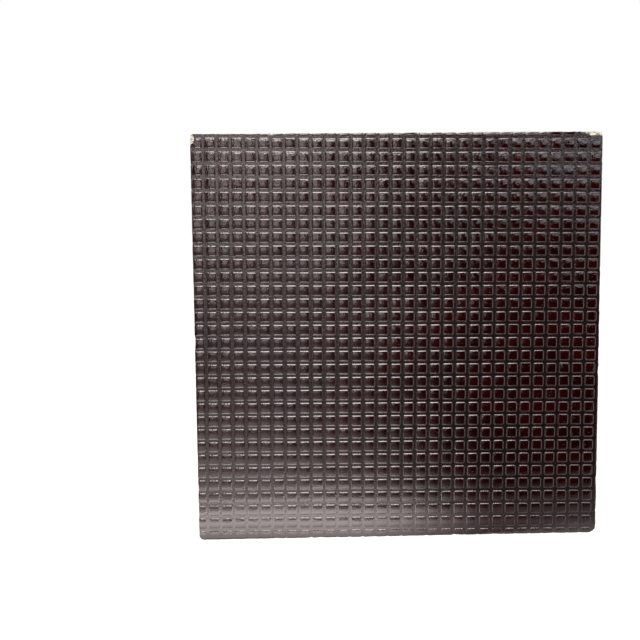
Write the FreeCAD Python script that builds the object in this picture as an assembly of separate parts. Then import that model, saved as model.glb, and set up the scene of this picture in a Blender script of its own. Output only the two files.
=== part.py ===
import FreeCAD, Part
import math
import os

# Film faced plywood: a square sample board of seven veneers glued cross grained, with a smooth
# film on its back and a wire mesh pattern pressed into the film on its front.
# The board stands on its lower sawn edge. X is its width, Y its thickness and Z its height.
# The patterned front faces -Y. Left and right are as seen from the front. All sizes are in mm.

# Board
board_width = 100.0
board_height = 100.0

# Layers, from the back film to the front film
back_film_thickness = 0.25
back_face_veneer_thickness = 1.35
back_crossband_thickness = 1.8
back_long_core_thickness = 1.35
centre_crossband_thickness = 1.7
front_long_core_thickness = 1.55
front_crossband_thickness = 2.1
front_face_veneer_thickness = 1.35
front_film_base = 0.2

# Mesh pattern of the front film: flat topped squares between crossing grooves
groove_depth = 0.35
groove_width = 0.75
mesh_pitch = 3.23
mesh_turn = 0.52
mesh_shift_x = -0.53
mesh_shift_z = -1.06

# Corners of the board, worn round through its whole thickness
top_left_wear = 0.6
top_right_wear = 0.5
bottom_right_wear = 2.3
bottom_left_wear = 1.4

# Front film broken away at the upper corners, along the top edge and down the side edge
top_left_chip_width = 1.3
top_left_chip_height = 2.3
top_right_chip_width = 4.2
top_right_chip_height = 1.2

# Layer names and thicknesses in the order in which they are laid up
veneer_layers = (
    ("back_face_veneer", back_face_veneer_thickness),
    ("back_crossband", back_crossband_thickness),
    ("back_long_core", back_long_core_thickness),
    ("centre_crossband", centre_crossband_thickness),
    ("front_long_core", front_long_core_thickness),
    ("front_crossband", front_crossband_thickness),
    ("front_face_veneer", front_face_veneer_thickness),
)

veneer_stack = sum(thickness for name, thickness in veneer_layers)
front_film_thickness = front_film_base + groove_depth
board_thickness = back_film_thickness + veneer_stack + front_film_thickness
back_y = board_thickness / 2
front_y = -board_thickness / 2
left_x = -board_width / 2
right_x = board_width / 2
top_z = board_height


def rounded_corner(corner, entry, leave, radius):
    """Arc that rounds a square corner, met along entry and left along leave (unit vectors)."""
    start = corner - entry * radius
    end = corner + leave * radius
    centre = start + leave * radius
    middle = centre + (corner - centre).normalize() * radius
    return Part.Arc(start, middle, end)


def board_outline():
    """Face of the worn board outline in the plane Y = 0."""
    up = FreeCAD.Vector(0, 0, 1)
    right = FreeCAD.Vector(1, 0, 0)
    arcs = [
        rounded_corner(FreeCAD.Vector(right_x, 0, 0), right, up, bottom_right_wear),
        rounded_corner(FreeCAD.Vector(right_x, 0, top_z), up, -right, top_right_wear),
        rounded_corner(FreeCAD.Vector(left_x, 0, top_z), -right, -up, top_left_wear),
        rounded_corner(FreeCAD.Vector(left_x, 0, 0), -up, right, bottom_left_wear),
    ]
    edges = []
    for arc, next_arc in zip(arcs, arcs[1:] + arcs[:1]):
        edges.append(arc.toShape())
        edges.append(Part.LineSegment(arc.EndPoint, next_arc.StartPoint).toShape())
    return Part.Face(Part.Wire(edges))


def layer(near_y, thickness):
    """Sheet with the board outline, from near_y towards the front."""
    sheet = board_outline()
    sheet.translate(FreeCAD.Vector(0, near_y, 0))
    return sheet.extrude(FreeCAD.Vector(0, -thickness, 0))


def ridged_plate(film_back):
    """Plate with V grooves that run along Z over the whole turned pattern, and ridges between them.

    The ridges stand higher than the film, so the film's own front cuts them off to flat squares.
    """
    reach = math.hypot(board_width, board_height) / 2 + math.hypot(mesh_shift_x, mesh_shift_z)
    count = math.ceil(reach / mesh_pitch)
    floor_y = front_y + groove_depth
    ridge_y = floor_y - groove_depth * mesh_pitch / groove_width
    points = []
    for step in range(-count, count + 1):
        points.append(FreeCAD.Vector((step - 0.5) * mesh_pitch, floor_y, 0))
        points.append(FreeCAD.Vector(step * mesh_pitch, ridge_y, 0))
    half_length = (count + 0.5) * mesh_pitch
    points.append(FreeCAD.Vector(half_length, floor_y, 0))
    points.append(FreeCAD.Vector(half_length, film_back, 0))
    points.append(FreeCAD.Vector(-half_length, film_back, 0))
    plate = Part.Face(Part.makePolygon(points + points[:1])).extrude(FreeCAD.Vector(0, 0, 2 * half_length))
    plate.translate(FreeCAD.Vector(0, 0, -half_length))
    return plate


def mesh_ridges(film_back, quarter_turn):
    """Ridged plate turned to one of the two directions of the mesh and set at the pattern's middle."""
    plate = ridged_plate(film_back)
    plate.rotate(FreeCAD.Vector(0, 0, 0), FreeCAD.Vector(0, 1, 0), quarter_turn + mesh_turn)
    plate.translate(FreeCAD.Vector(mesh_shift_x, 0, board_height / 2 + mesh_shift_z))
    return plate


def film_chip(corner_x, inward, width, height, film_back):
    """Wedge of film broken off an upper corner, width along the top edge and height down the side."""
    corner = FreeCAD.Vector(corner_x, film_back, top_z)
    along_top = corner + FreeCAD.Vector(inward * width, 0, 0)
    down_side = corner - FreeCAD.Vector(0, 0, height)
    face = Part.Face(Part.makePolygon([corner, along_top, down_side, corner]))
    return face.extrude(FreeCAD.Vector(0, -front_film_thickness, 0))


def front_film():
    """Front film: crossing grooves leave a field of squares, cut off where the board was sawn."""
    film_back = front_y + front_film_thickness
    chips = [
        film_chip(left_x, 1, top_left_chip_width, top_left_chip_height, film_back),
        film_chip(right_x, -1, top_right_chip_width, top_right_chip_height, film_back),
    ]
    blank = layer(film_back, front_film_thickness).cut(chips)
    behind_film = film_back + front_film_thickness
    return blank.common(mesh_ridges(behind_film, 0)).common(mesh_ridges(behind_film, 90))


os.makedirs("parts", exist_ok=True)

layer(back_y, back_film_thickness).exportStep("parts/back_film.step")

near_y = back_y - back_film_thickness
for name, thickness in veneer_layers:
    layer(near_y, thickness).exportStep("parts/" + name + ".step")
    near_y -= thickness

front_film().exportStep("parts/front_film.step")
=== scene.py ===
"""Looks of a film faced plywood board.

The board stands on its lower sawn edge. Its front film has a wire mesh pattern pressed into it, its
back film is smooth, and seven raw veneers show between them along the sawn edges. Every length is in
metres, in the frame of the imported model: X is the board's width, Y its thickness and Z its height, and
the patterned front faces -Y. Left and right are as seen from the front.
"""

import logging
import math
from collections.abc import Callable, Sequence
from dataclasses import dataclass, field
from enum import Enum
from itertools import product

import bmesh
import bpy
import numpy as np
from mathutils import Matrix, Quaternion, Vector


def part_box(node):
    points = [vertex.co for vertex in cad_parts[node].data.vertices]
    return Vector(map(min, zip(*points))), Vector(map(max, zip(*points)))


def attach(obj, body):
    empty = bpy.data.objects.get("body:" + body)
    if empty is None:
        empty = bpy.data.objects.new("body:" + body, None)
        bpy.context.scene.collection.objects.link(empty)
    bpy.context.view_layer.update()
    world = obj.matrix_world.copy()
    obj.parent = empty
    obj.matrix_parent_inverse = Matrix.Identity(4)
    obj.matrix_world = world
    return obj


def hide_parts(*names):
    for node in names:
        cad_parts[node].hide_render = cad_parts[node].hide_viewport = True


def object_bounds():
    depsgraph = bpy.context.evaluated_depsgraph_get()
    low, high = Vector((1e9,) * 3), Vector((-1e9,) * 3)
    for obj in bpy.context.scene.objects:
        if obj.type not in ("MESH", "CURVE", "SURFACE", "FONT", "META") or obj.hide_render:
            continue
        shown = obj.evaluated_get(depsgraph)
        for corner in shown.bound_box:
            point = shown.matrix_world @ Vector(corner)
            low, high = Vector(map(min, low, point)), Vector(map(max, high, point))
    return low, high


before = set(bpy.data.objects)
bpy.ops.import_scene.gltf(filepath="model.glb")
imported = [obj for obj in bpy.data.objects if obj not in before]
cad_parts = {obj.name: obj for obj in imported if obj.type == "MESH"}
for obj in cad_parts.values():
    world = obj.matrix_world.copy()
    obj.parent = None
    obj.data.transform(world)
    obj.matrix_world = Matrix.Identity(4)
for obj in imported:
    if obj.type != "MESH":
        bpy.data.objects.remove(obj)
CAD_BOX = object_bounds()

MM = 0.001
ROOT_BODY = "root"
IMAGE_SIDE = 640

Colour = tuple[float, float, float]
Point = tuple[float, float, float]
Range = tuple[float, float]
Surface = Callable[[np.ndarray, np.ndarray], np.ndarray]
Socket = bpy.types.NodeSocket

WHITE: Colour = (1.0, 1.0, 1.0)
WARM_WHITE: Colour = (1.0, 0.98, 0.965)
DAYLIGHT: Colour = (0.8, 0.88, 1.0)

log = logging.getLogger("plywood_board")


class Grain(Enum):
    """Direction in which a veneer's fibres run."""

    ACROSS = "X"
    UPRIGHT = "Z"


class Axis(Enum):
    """Direction along which a card's light changes."""

    DEPTH = "Y"
    HEIGHT = "Z"


class Side(Enum):
    """Edge of the board, as seen from the front."""

    LEFT = "left"
    RIGHT = "right"
    TOP = "top"
    BOTTOM = "bottom"

    @property
    def level(self) -> bool:
        """Whether the edge runs along the board's width."""
        return self in (Side.TOP, Side.BOTTOM)


def smooth_step(value: np.ndarray, low: float, high: float) -> np.ndarray:
    """Rise from 0 at low to 1 at high with level ends.

    Args:
        value: Numbers to map.
        low: Number that maps to 0.
        high: Number that maps to 1.

    Returns:
        Mapped numbers, from 0 to 1.
    """
    share = np.clip((value - low) / (high - low), 0.0, 1.0)
    return share * share * (3.0 - 2.0 * share)


def slopes(surface: Surface, x: np.ndarray, z: np.ndarray, step: float) -> tuple[np.ndarray, np.ndarray]:
    """Slopes of a surface along both of its directions.

    Args:
        surface: Function of places x and z.
        x: Places along the width.
        z: Places up the height.
        step: Distance to the neighbouring places on each side.

    Returns:
        Slopes along x and along z.
    """
    slope_x = (surface(x + step, z) - surface(x - step, z)) / (2.0 * step)
    slope_z = (surface(x, z + step) - surface(x, z - step)) / (2.0 * step)
    return slope_x, slope_z


def crossing(start: Vector, end: Vector, other_start: Vector, other_end: Vector) -> bool:
    """Find out whether two straight lines cross.

    Args:
        start: Flat place where the first line starts.
        end: Place where it ends.
        other_start: Place where the second line starts.
        other_end: Place where it ends.

    Returns:
        True if they cross between their ends.
    """
    run, other_run = end - start, other_end - other_start
    parted = run.cross(other_start - start) * run.cross(other_end - start) < 0.0
    return parted and other_run.cross(start - other_start) * other_run.cross(end - other_start) < 0.0


class Ripple:
    """Smooth random waves over two coordinates, as a sum of a few seeded plane waves."""

    def __init__(self, seed: int, wavelength: float, waves: int = 9, spread: Range = (0.6, 1.6)) -> None:
        """Draw the waves.

        Args:
            seed: Seed of the random draws.
            wavelength: Middle wavelength of the waves.
            waves: Number of waves that are added.
            spread: Smallest and largest share of the middle wavelength.
        """
        draw = np.random.default_rng(seed)
        angle = draw.uniform(0.0, 2.0 * math.pi, waves)
        number = 2.0 * math.pi / (wavelength * draw.uniform(*spread, waves))
        self.along = number * np.cos(angle)
        self.across = number * np.sin(angle)
        self.phase = draw.uniform(0.0, 2.0 * math.pi, waves)
        self.scale = math.sqrt(2.0 / waves)

    def at(self, first: np.ndarray, second: np.ndarray) -> np.ndarray:
        """Height of the waves, mostly from -2 to 2.

        Args:
            first: First coordinates.
            second: Second coordinates, of the same shape.

        Returns:
            Heights, of the same shape.
        """
        total = np.zeros(np.shape(first))
        for along, across, phase in zip(self.along, self.across, self.phase):
            total += np.sin(along * first + across * second + phase)
        return total * self.scale


@dataclass(frozen=True)
class Noise:
    """Random pattern of a finish: grains for each millimetre, finer layers and squeeze by axis."""

    scale: float
    detail: float = 2.0
    squeeze: Point | None = None


class ShaderGraph:
    """Node tree of one material, with short calls that add nodes and link them."""

    def __init__(self, name: str) -> None:
        """Make an empty material.

        Args:
            name: Name of the material.
        """
        self.material = bpy.data.materials.new(name)
        self.material.use_nodes = True
        self.nodes = self.material.node_tree.nodes
        self.links = self.material.node_tree.links
        self.nodes.clear()
        self.output = self.nodes.new("ShaderNodeOutputMaterial")

    def node(self, kind: str, **inputs: object) -> bpy.types.Node:
        """Add a node and fill its inputs.

        Args:
            kind: Blender's name of the node type.
            **inputs: Values or sockets by input name, with underscores for spaces.

        Returns:
            The new node.
        """
        made = self.nodes.new(kind)
        for name, value in inputs.items():
            self.feed(made.inputs[name.replace("_", " ")], value)
        return made

    def feed(self, socket: Socket, value: object) -> None:
        """Link a socket to an input, or set the input to a plain value.

        Args:
            socket: Input to fill.
            value: Output socket, number, or colour of three numbers.
        """
        if isinstance(value, Socket):
            self.links.new(value, socket)
        elif socket.type == "RGBA" and len(value) == 3:
            socket.default_value = (*value, 1.0)
        else:
            socket.default_value = value

    def millimetres(self) -> Socket:
        """Position on the object in millimetres."""
        place = self.nodes.new("ShaderNodeTexCoord").outputs["Object"]
        return self.stretched(place, (1.0 / MM, 1.0 / MM, 1.0 / MM))

    def stretched(self, vector: Socket, factors: Point) -> Socket:
        """Multiply a vector by three factors.

        Args:
            vector: Socket of the vector.
            factors: Factor along each axis.

        Returns:
            Socket of the product.
        """
        made = self.nodes.new("ShaderNodeVectorMath")
        made.operation = "MULTIPLY"
        self.links.new(vector, made.inputs[0])
        made.inputs[1].default_value = factors
        return made.outputs["Vector"]

    def noise(self, vector: Socket, pattern: Noise) -> Socket:
        """Noise from 0 to 1.

        Args:
            vector: Position in millimetres.
            pattern: Pattern of the noise.

        Returns:
            Socket of the noise.
        """
        if pattern.squeeze is not None:
            vector = self.stretched(vector, pattern.squeeze)
        made = self.node("ShaderNodeTexNoise", Vector=vector, Scale=pattern.scale, Detail=pattern.detail)
        return made.outputs["Fac"]

    def ranged(self, value: Socket, span: Range, result: Range = (0.0, 1.0)) -> Socket:
        """Map a value smoothly from one range to another, level beyond both ends.

        Args:
            value: Socket to map.
            span: The two values that map to the ends of the result.
            result: The two ends of the result.

        Returns:
            Socket of the mapped value.
        """
        made = self.nodes.new("ShaderNodeMapRange")
        made.interpolation_type = "SMOOTHSTEP"
        self.links.new(value, made.inputs["Value"])
        for name, number in zip(("From Min", "From Max", "To Min", "To Max"), (*span, *result)):
            made.inputs[name].default_value = number
        return made.outputs["Result"]

    def calc(self, operation: str, *numbers: object) -> Socket:
        """Work out one number from others.

        Args:
            operation: Blender's name of the operation.
            *numbers: Sockets or plain numbers, as many as the operation uses.

        Returns:
            Socket of the result.
        """
        made = self.nodes.new("ShaderNodeMath")
        made.operation = operation
        for socket, value in zip(made.inputs, numbers):
            self.feed(socket, value)
        return made.outputs["Value"]

    def varied(self, noise: Socket, change: float, middle: float) -> Socket:
        """Number that noise moves up and down.

        Args:
            noise: Noise from 0 to 1.
            change: Whole reach of the movement.
            middle: Number that is moved.

        Returns:
            Socket of the moved number.
        """
        swing = self.calc("MULTIPLY", self.calc("SUBTRACT", noise, 0.5), change)
        return self.calc("ADD", swing, middle)

    def dot(self, vector: Socket, direction: Point) -> Socket:
        """Length of a vector along a direction.

        Args:
            vector: Socket of the vector.
            direction: Unit direction.

        Returns:
            Socket of the length.
        """
        made = self.nodes.new("ShaderNodeVectorMath")
        made.operation = "DOT_PRODUCT"
        self.links.new(vector, made.inputs[0])
        made.inputs[1].default_value = direction
        return made.outputs["Value"]

    def blended(self, share: object, first: object, second: object) -> Socket:
        """Mix two colours.

        Args:
            share: Socket or number, 0 for the first colour and 1 for the second.
            first: Socket or colour.
            second: Socket or colour.

        Returns:
            Socket of the mixed colour.
        """
        made = self.nodes.new("ShaderNodeMix")
        made.data_type = "RGBA"
        first_colour, second_colour, mixed_colour = made.inputs[6], made.inputs[7], made.outputs[2]
        self.feed(made.inputs["Factor"], share)
        self.feed(first_colour, first)
        self.feed(second_colour, second)
        return mixed_colour

    def bumped(self, height: Socket, depth: float) -> Socket:
        """Normal of a surface with fine relief.

        Args:
            height: Relief from 0 to 1.
            depth: Depth of the relief in metres.

        Returns:
            Socket of the normal.
        """
        return self.node("ShaderNodeBump", Height=height, Distance=depth).outputs["Normal"]

    def finish(self, **inputs: object) -> bpy.types.Material:
        """Close the graph with a principled surface.

        Args:
            **inputs: Inputs of the surface by name, with underscores for spaces.

        Returns:
            The finished material.
        """
        surface = self.node("ShaderNodeBsdfPrincipled", **inputs)
        self.links.new(surface.outputs["BSDF"], self.output.inputs["Surface"])
        return self.material


@dataclass(frozen=True)
class MeshPattern:
    """Square pattern that the wire mesh pressed into the film."""

    middle_z: float
    pitch: float = 3.23 * MM
    turn: float = math.radians(0.52)
    shift_x: float = -0.53 * MM
    shift_z: float = -1.06 * MM
    square_half: float = 1.3 * MM
    square_corner: float = 0.32 * MM
    shader_corner: float = 0.56 * MM

    def to_board(self, along: np.ndarray, up: np.ndarray) -> tuple[np.ndarray, np.ndarray]:
        """Turn places on the mesh into places on the board.

        Args:
            along: Places along the rows of the mesh.
            up: Places up the columns of the mesh.

        Returns:
            Places x and z on the board.
        """
        cosine, sine = math.cos(self.turn), math.sin(self.turn)
        x = self.shift_x + along * cosine + up * sine
        return x, self.middle_z + self.shift_z - along * sine + up * cosine

    def to_mesh(self, x: np.ndarray, z: np.ndarray) -> tuple[np.ndarray, np.ndarray]:
        """Turn places on the board into places on the mesh.

        Args:
            x: Places along the board's width.
            z: Places up the board's height.

        Returns:
            Places along the rows and up the columns of the mesh.
        """
        cosine, sine = math.cos(self.turn), math.sin(self.turn)
        from_x = x - self.shift_x
        from_z = z - self.middle_z - self.shift_z
        return from_x * cosine - from_z * sine, from_x * sine + from_z * cosine

    def rim_distance(self, graph: ShaderGraph, place: Socket) -> Socket:
        """Shader socket of the distance from the nearest square's rim, negative on the square.

        Args:
            graph: Graph that gets the nodes.
            place: Position on the board in millimetres.

        Returns:
            Socket of the distance in millimetres.
        """
        cosine, sine = math.cos(self.turn), math.sin(self.turn)
        origin_along, origin_up = self.to_mesh(0.0, 0.0)
        directions = ((cosine, 0.0, -sine), (sine, 0.0, cosine))
        folded = []
        for direction, origin in zip(directions, (origin_along, origin_up)):
            line = graph.calc("ADD", graph.dot(place, direction), origin / MM)
            folded.append(graph.calc("PINGPONG", line, self.pitch / 2.0 / MM))
        from_middle = graph.calc("SMOOTH_MAX", *folded, self.shader_corner / MM)
        return graph.calc("SUBTRACT", from_middle, self.square_half / MM)


@dataclass(frozen=True)
class MeshFilmFinish:
    """Dark phenolic film, glossy on the squares, with a painted pale highlight along their rims, satin in
    the grooves.

    Ranges that are named for the rim are distances from it in millimetres, negative on the square.
    """

    square_colour: Colour = (0.02, 0.0011, 0.0008)
    square_shade: Colour = (0.0094, 0.0006, 0.0005)
    groove_colour: Colour = (0.0125, 0.0042, 0.0038)
    # Pale colour of the painted highlight along each square's rim.
    rim_highlight_colour: Colour = (0.4, 0.31, 0.28)
    # Colour of rare pale specks, which are dust and also painted glints.
    dust_and_glint_colour: Colour = (0.2, 0.17, 0.15)
    gloss_tint: Colour = (1.0, 0.9, 0.885)
    patches: Noise = Noise(0.11, 3.0)
    grains: Noise = Noise(2.7, 1.0)
    fibres: Noise = Noise(1.8, 1.0, (1.6, 1.0, 1.0))
    specks: Noise = Noise(3.1, 1.0)
    patch_range: Range = (0.3, 0.7)
    # Noise range and strength of the pale specks of dust and painted glints.
    dust_and_glint_range: Range = (0.74, 0.79)
    dust_and_glint_share: float = 0.7
    groove_rim: Range = (-0.03, 0.05)
    # The next four fields place the painted highlight on each rim's crest and bead it with the grains
    # noise.
    highlight_inner_rim: Range = (-0.18, -0.12)
    highlight_outer_rim: Range = (-0.05, 0.01)
    highlight_grain_range: Range = (0.4, 0.66)
    highlight_shares: Range = (0.02, 0.09)
    square_roughness: float = 0.05
    groove_roughness: float = 0.16
    gloss_change: float = 0.1
    refraction: float = 1.6
    fibre_relief: float = 0.4
    grain_reliefs: Range = (0.75, 1.0)
    relief_depth: float = 0.05 * MM

    def material(self, pattern: MeshPattern) -> bpy.types.Material:
        """Make the material.

        Args:
            pattern: Pattern of the squares.

        Returns:
            The finished material.
        """
        graph = ShaderGraph("mesh_film")
        place = graph.millimetres()
        rim = pattern.rim_distance(graph, place)
        groove = graph.ranged(rim, self.groove_rim)
        patches = graph.ranged(graph.noise(place, self.patches), self.patch_range)
        grains = graph.noise(place, self.grains)
        fibres = graph.noise(place, self.fibres)
        squares = graph.blended(patches, self.square_shade, self.square_colour)
        film = graph.blended(groove, squares, self.groove_colour)
        # Rare pale specks: dust, and painted glints on the squares.
        dust_and_glints = graph.ranged(graph.noise(place, self.specks), self.dust_and_glint_range, (0.0, self.dust_and_glint_share))
        with_dust_and_glints = graph.blended(dust_and_glints, film, self.dust_and_glint_colour)
        # Painted highlight: pale colour along each rim's crest, beaded by the grains noise.
        inside = graph.ranged(rim, self.highlight_inner_rim)
        crest = graph.calc("MULTIPLY", inside, graph.ranged(rim, self.highlight_outer_rim, (1.0, 0.0)))
        painted_rim_highlight = graph.calc("MULTIPLY", crest, graph.ranged(grains, self.highlight_grain_range, self.highlight_shares))
        colour = graph.blended(painted_rim_highlight, with_dust_and_glints, self.rim_highlight_colour)
        smooth = graph.varied(fibres, self.gloss_change, self.square_roughness)
        rougher = graph.calc("MULTIPLY", groove, self.groove_roughness - self.square_roughness)
        grained = graph.calc("MULTIPLY", grains, graph.ranged(rim, self.groove_rim, self.grain_reliefs))
        relief = graph.calc("ADD", graph.calc("MULTIPLY", fibres, self.fibre_relief), grained)
        return graph.finish(
            Base_Color=colour,
            Roughness=graph.calc("ADD", smooth, rougher),
            IOR=self.refraction,
            Specular_Tint=self.gloss_tint,
            Normal=graph.bumped(relief, self.relief_depth),
        )


@dataclass(frozen=True)
class SmoothFilmFinish:
    """Dark phenolic film, smooth, with the wood's fibres just showing through its gloss."""

    colour: Colour = (0.06, 0.02, 0.014)
    shade: Colour = (0.028, 0.0105, 0.008)
    scuff_colour: Colour = (0.11, 0.075, 0.06)
    fibres: Noise = Noise(1.0, 4.0, (0.05, 1.0, 1.3))
    peel: Noise = Noise(1.3)
    scuffs: Noise = Noise(1.0, 2.0, (0.9, 1.0, 0.05))
    patches: Noise = Noise(0.07, 3.0)
    patch_range: Range = (0.3, 0.7)
    fibre_range: Range = (0.42, 0.68)
    fibre_share: float = 0.75
    scuff_range: Range = (0.64, 0.76)
    scuff_share: float = 0.35
    roughness: float = 0.24
    gloss_change: float = 0.2
    refraction: float = 1.52
    fibre_relief: float = 0.6
    peel_relief: float = 0.4
    relief_depth: float = 0.02 * MM

    def material(self) -> bpy.types.Material:
        """Make the material, with long shallow fibre marks and a few scuffs.

        Returns:
            The finished material.
        """
        graph = ShaderGraph("smooth_film")
        place = graph.millimetres()
        fibres = graph.noise(place, self.fibres)
        patches = graph.ranged(graph.noise(place, self.patches), self.patch_range)
        cloudy = graph.blended(patches, self.shade, self.colour)
        marks = graph.ranged(fibres, self.fibre_range, (0.0, self.fibre_share))
        film = graph.blended(marks, cloudy, self.shade)
        scuffs = graph.ranged(graph.noise(place, self.scuffs), self.scuff_range, (0.0, self.scuff_share))
        peel = graph.calc("MULTIPLY", graph.noise(place, self.peel), self.peel_relief)
        relief = graph.calc("ADD", graph.calc("MULTIPLY", fibres, self.fibre_relief), peel)
        return graph.finish(
            Base_Color=graph.blended(scuffs, film, self.scuff_colour),
            Roughness=graph.varied(fibres, self.gloss_change, self.roughness),
            IOR=self.refraction,
            Normal=graph.bumped(relief, self.relief_depth),
        )


@dataclass(frozen=True)
class VeneerFinish:
    """Raw sawn veneer: porous and darker across its fibres, pale and streaked along them.

    The face that points to the front is fresh torn wood, which shows only where the film broke away.
    """

    end_colour: Colour
    long_colour: Colour
    pore_colour: Colour
    glue_colour: Colour = (0.2, 0.11, 0.055)
    torn_colour: Colour = (0.92, 0.87, 0.74)
    fibre_squeeze: float = 0.05
    streaks: Noise = Noise(1.7, 4.0)
    bands: Noise = Noise(0.35)
    pores: Noise = Noise(5.5)
    end_facing: Range = (0.45, 0.85)
    streak_range: Range = (0.35, 0.75)
    streak_share: float = 0.45
    band_range: Range = (0.3, 0.75)
    band_share: float = 0.35
    pore_range: Range = (0.56, 0.7)
    pore_share: float = 0.6
    glue_width: float = 0.1 * MM
    glue_share: float = 0.55
    torn_facing: Range = (-0.9, -0.6)
    torn_share: float = 0.9
    roughness: float = 0.78
    pore_relief: float = 0.7
    relief_depth: float = 0.05 * MM

    def material(self, name: str, grain: Grain, near_y: float, far_y: float) -> bpy.types.Material:
        """Make the material of one veneer.

        Args:
            name: Name of the material.
            grain: Direction of the fibres.
            near_y: Depth of the veneer's front.
            far_y: Depth of the veneer's back.

        Returns:
            The finished material.
        """
        graph = ShaderGraph(name)
        place = graph.millimetres()
        squeeze = {
            Grain.ACROSS: (self.fibre_squeeze, 1.0, 1.0),
            Grain.UPRIGHT: (1.0, 1.0, self.fibre_squeeze),
        }[grain]
        lengthwise = graph.stretched(place, squeeze)
        streaks = graph.noise(lengthwise, self.streaks)
        pores = graph.noise(lengthwise, self.pores)
        facing = graph.node("ShaderNodeNewGeometry").outputs["Normal"]
        split = graph.node("ShaderNodeSeparateXYZ", Vector=facing)
        end_face = graph.ranged(graph.calc("ABSOLUTE", split.outputs[grain.value]), self.end_facing)
        streaked = graph.ranged(streaks, self.streak_range, (0.0, self.streak_share))
        long_wood = graph.blended(streaked, self.long_colour, self.end_colour)
        wood = graph.blended(end_face, long_wood, self.end_colour)
        bands = graph.noise(lengthwise, self.bands)
        banded = graph.ranged(bands, self.band_range, (0.0, self.band_share))
        toned = graph.blended(banded, wood, self.pore_colour)
        dots = graph.ranged(pores, self.pore_range, (0.0, self.pore_share))
        dotted = graph.blended(dots, toned, self.pore_colour)
        glued = graph.blended(self.glue_lines(graph, place, near_y, far_y), dotted, self.glue_colour)
        torn = graph.ranged(split.outputs["Y"], self.torn_facing, (self.torn_share, 0.0))
        relief = graph.calc("SUBTRACT", streaks, graph.calc("MULTIPLY", pores, self.pore_relief))
        return graph.finish(
            Base_Color=graph.blended(torn, glued, self.torn_colour),
            Roughness=self.roughness,
            Normal=graph.bumped(relief, self.relief_depth),
        )

    def glue_lines(self, graph: ShaderGraph, place: Socket, near_y: float, far_y: float) -> Socket:
        """Share of glue, which shows along the veneer's front and back.

        Args:
            graph: Graph that gets the nodes.
            place: Position in millimetres.
            near_y: Depth of the veneer's front.
            far_y: Depth of the veneer's back.

        Returns:
            Socket of the share.
        """
        depth = graph.node("ShaderNodeSeparateXYZ", Vector=place).outputs["Y"]
        middle, half = (near_y + far_y) / 2.0 / MM, (far_y - near_y) / 2.0 / MM
        from_middle = graph.calc("ABSOLUTE", graph.calc("SUBTRACT", depth, middle))
        return graph.ranged(from_middle, (half - self.glue_width / MM, half), (0.0, self.glue_share))


@dataclass(frozen=True)
class FibreFinish:
    """Fresh torn wood fibres, almost white, with a few that took some of the film's colour."""

    colour: Colour = (0.93, 0.9, 0.8)
    shade: Colour = (0.24, 0.22, 0.17)
    streaks: Noise = Noise(2.1)
    fuzz: Noise = Noise(9.0)
    streak_range: Range = (0.42, 0.6)
    roughness: float = 0.85
    relief_depth: float = 0.03 * MM

    def material(self) -> bpy.types.Material:
        """Make the material, streaked and uneven.

        Returns:
            The finished material.
        """
        graph = ShaderGraph("torn_fibres")
        place = graph.millimetres()
        streaks = graph.ranged(graph.noise(place, self.streaks), self.streak_range)
        return graph.finish(
            Base_Color=graph.blended(streaks, self.colour, self.shade),
            Roughness=self.roughness,
            Normal=graph.bumped(graph.noise(place, self.fuzz), self.relief_depth),
        )


@dataclass(frozen=True)
class FloorFinish:
    """Plain pale floor that looks white and keeps a soft shadow."""

    glow: float = 0.88
    shadow_catch: float = 0.52
    bounce: float = 0.8

    def material(self) -> bpy.types.Material:
        """Make the material: white to the eye and in gloss, plain pale diffuse to bounced light.

        Returns:
            The finished material.
        """
        graph = ShaderGraph("pale_floor")
        paths = graph.nodes.new("ShaderNodeLightPath").outputs
        seen = graph.calc("MAXIMUM", paths["Is Camera Ray"], paths["Is Glossy Ray"])
        seen = graph.calc("MAXIMUM", seen, paths["Is Transmission Ray"])
        glow = graph.node("ShaderNodeEmission", Color=WHITE, Strength=self.glow)
        catch = graph.node("ShaderNodeBsdfDiffuse", Color=(self.shadow_catch,) * 3)
        shown = graph.nodes.new("ShaderNodeAddShader")
        graph.links.new(glow.outputs[0], shown.inputs[0])
        graph.links.new(catch.outputs[0], shown.inputs[1])
        plain = graph.node("ShaderNodeBsdfDiffuse", Color=(self.bounce,) * 3)
        mixed = graph.node("ShaderNodeMixShader", Fac=seen)
        graph.links.new(plain.outputs[0], mixed.inputs[1])
        graph.links.new(shown.outputs[0], mixed.inputs[2])
        graph.links.new(mixed.outputs[0], graph.output.inputs["Surface"])
        return graph.material


@dataclass(frozen=True)
class Ramp:
    """Smooth rise or fall of a card's light to its full level, with its two ends in millimetres."""

    axis: Axis
    span: Range
    start_share: float


@dataclass(frozen=True)
class CardFinish:
    """Glowing card, light round one place along its width and dark beyond. Places are in millimetres."""

    light: float
    dark: float
    middle: float
    inner: float
    outer: float
    ramp: Ramp | None = None

    def material(self, name: str) -> bpy.types.Material:
        """Make the material.

        Args:
            name: Name of the material.

        Returns:
            The finished material.
        """
        graph = ShaderGraph(name)
        split = graph.node("ShaderNodeSeparateXYZ", Vector=graph.millimetres()).outputs
        from_middle = graph.calc("ABSOLUTE", graph.calc("SUBTRACT", split["X"], self.middle))
        strength = graph.ranged(from_middle, (self.inner, self.outer), (self.light, self.dark))
        if self.ramp is not None:
            shares = (self.ramp.start_share, 1.0)
            change = graph.ranged(split[self.ramp.axis.value], self.ramp.span, shares)
            strength = graph.calc("MULTIPLY", strength, change)
        face = graph.node("ShaderNodeEmission", Color=WHITE, Strength=strength)
        graph.links.new(face.outputs[0], graph.output.inputs["Surface"])
        return graph.material


@dataclass(frozen=True)
class Nick:
    """Small bite that broke out of the film's edge when the board was sawn."""

    side: Side
    place: float
    length: float
    depth: float


@dataclass(frozen=True)
class Fray:
    """Stretch of the film's edge along which wood fibres were torn out."""

    side: Side
    start: float
    end: float
    reach: float
    count: int
    length: float


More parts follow.
